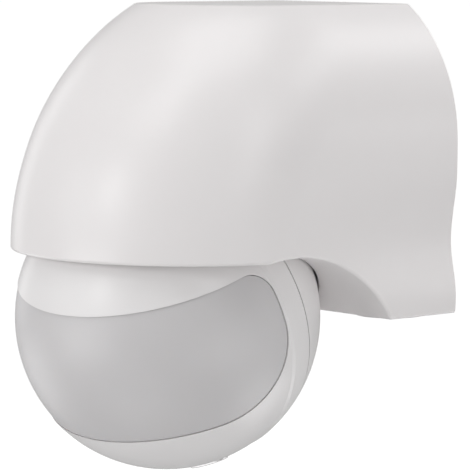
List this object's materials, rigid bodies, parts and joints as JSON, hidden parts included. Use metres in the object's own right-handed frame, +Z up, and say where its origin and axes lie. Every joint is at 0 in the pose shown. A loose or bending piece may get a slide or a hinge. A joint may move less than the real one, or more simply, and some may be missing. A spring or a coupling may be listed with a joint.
{
  "type": "motion sensor",
  "caption": "Wall-mounted passive infrared motion sensor: arched housing over a ball-shaped head with a wraparound lens that pans and tilts, and adjusting knobs underneath",
  "frame": {"origin": "centre of the wall plate's back face, midway between the two wall screw holes", "axes": "+Z up, +Y into the wall, the front of the housing faces -Y"},
  "size_m": [0.0704, 0.0792, 0.0947],
  "materials": {
    "housing_plastic": "fine satin texture, white",
    "head_plastic": "satin white",
    "lens_plastic": "milky translucent sheet, smooth outside",
    "seal_rubber": "dark closed rubber",
    "screw_steel": "zinc plated",
    "spring_steel": "plain bright",
    "terminal_plastic": "pale grey",
    "terminal_brass": "plain",
    "board": "solder mask",
    "dark_component": "moulded epoxy",
    "capacitor_box": "moulded box",
    "surge_coating": "dipped coating",
    "inner_plastic": "plain moulded",
    "bush_plastic": "low friction acetal",
    "sensor_can": "plated can",
    "sensor_glass": "dark filter window",
    "clear_epoxy": "cast epoxy",
    "red_epoxy": "cast epoxy",
    "trimmer_plastic": "moulded",
    "knob_plastic": "satin white"
  },
  "bodies": {
    "housing": {"housing_hood": "housing_plastic", "wall_plate": "housing_plastic", "wall_seal": "seal_rubber", "cable_grommet": "seal_rubber", "hood_screws": "screw_steel", "terminal_block": "terminal_plastic", "terminal_clamps": "terminal_brass", "terminal_screws": "screw_steel", "power_board": "board", "power_board_screws": "screw_steel", "relay": "dark_component", "film_capacitor": "capacitor_box", "smoothing_capacitor": "dark_component", "surge_disc": "surge_coating", "bearing_plate": "inner_plastic", "bearing_screws": "screw_steel", "pan_bush": "bush_plastic"},
    "swivel": {"neck": "inner_plastic", "wave_washer": "spring_steel", "retaining_ring": "bush_plastic"},
    "head": {"head_front_shell": "head_plastic", "head_rear_shell": "head_plastic", "shell_screws": "screw_steel", "head_seal": "seal_rubber", "fresnel_lens": "lens_plastic", "lens_retainer": "inner_plastic", "sensor_board": "board", "pyro_sensor": "sensor_can", "pyro_window": "sensor_glass", "light_sensor": "clear_epoxy", "status_light": "red_epoxy", "board_header": "dark_component", "tilt_bracket": "inner_plastic", "tilt_pin": "spring_steel", "tilt_washers": "bush_plastic", "bracket_screws": "screw_steel", "trimmers": "trimmer_plastic", "adjuster_board": "board"},
    "range_knob_body": {"range_knob": "knob_plastic"},
    "time_knob_body": {"time_knob": "knob_plastic"},
    "light_level_knob_body": {"light_level_knob": "knob_plastic"}
  },
  "joints": [
    {"name": "head_pan", "type": "hinge", "parent": "housing", "child": "swivel", "pos_m": [0, -0.04819, 0.0065], "axis": [0, 0, 1], "range_deg": [-92, 68]},
    {"name": "head_tilt", "type": "hinge", "parent": "swivel", "child": "head", "pos_m": [0, -0.04819, -0.0323], "axis": [0.9781, 0.2079, 0], "range_deg": [-21, 24]},
    {"name": "range_knob_turn", "type": "hinge", "parent": "head", "child": "range_knob_body", "pos_m": [-0.00866, -0.04594, -0.0637], "axis": [0, 0, -1], "range_deg": [-135, 135]},
    {"name": "time_knob_turn", "type": "hinge", "parent": "head", "child": "time_knob_body", "pos_m": [-0.00083, -0.04428, -0.0637], "axis": [0, 0, -1], "range_deg": [-135, 135]},
    {"name": "light_level_knob_turn", "type": "hinge", "parent": "head", "child": "light_level_knob_body", "pos_m": [0.00699, -0.04262, -0.0637], "axis": [0, 0, -1], "range_deg": [-135, 135]}
  ]
}
